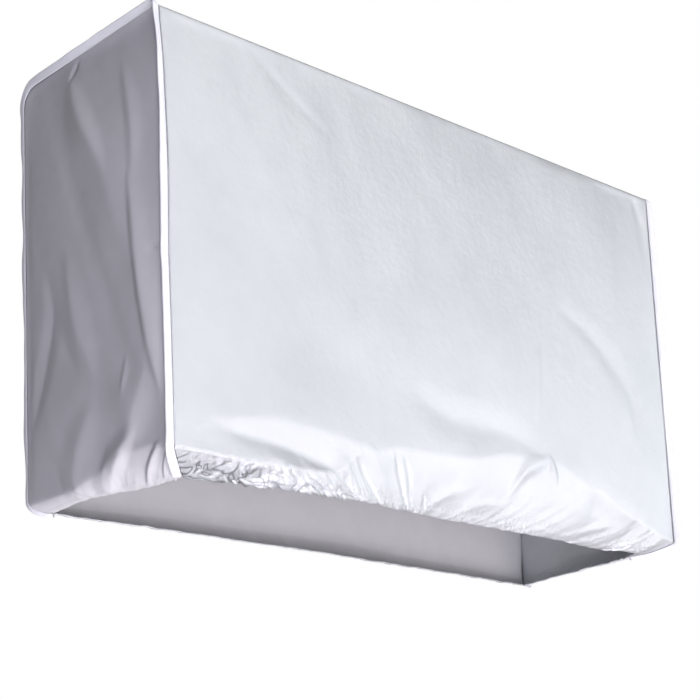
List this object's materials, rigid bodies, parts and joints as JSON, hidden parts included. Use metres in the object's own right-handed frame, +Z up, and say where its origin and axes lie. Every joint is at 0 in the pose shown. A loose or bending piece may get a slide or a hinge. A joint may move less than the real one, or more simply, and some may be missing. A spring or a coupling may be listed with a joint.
{
  "type": "air conditioner outdoor unit cover",
  "caption": "Fitted silver cloth cover for an outdoor air conditioner unit, boxy and hollow, with bound side seams and an elastic hem turned under.",
  "frame": {"origin": "under the middle of the top panel, where the cover hangs on the unit's top", "axes": "+Z up, front towards -Y, +X along the width to the right seen from the front"},
  "size_m": [0.9192, 0.2973, 0.5604],
  "materials": {
    "silver_cloth": "thin polyester with a smooth silver coating, satin to glossy",
    "binding_tape": "matte white woven tape, stitched along its root"
  },
  "bodies": {
    "root": {"wrap_panel": "silver_cloth", "side_panel_left": "silver_cloth", "side_panel_right": "silver_cloth", "binding_left": "binding_tape", "binding_right": "binding_tape"}
  },
  "joints": []
}
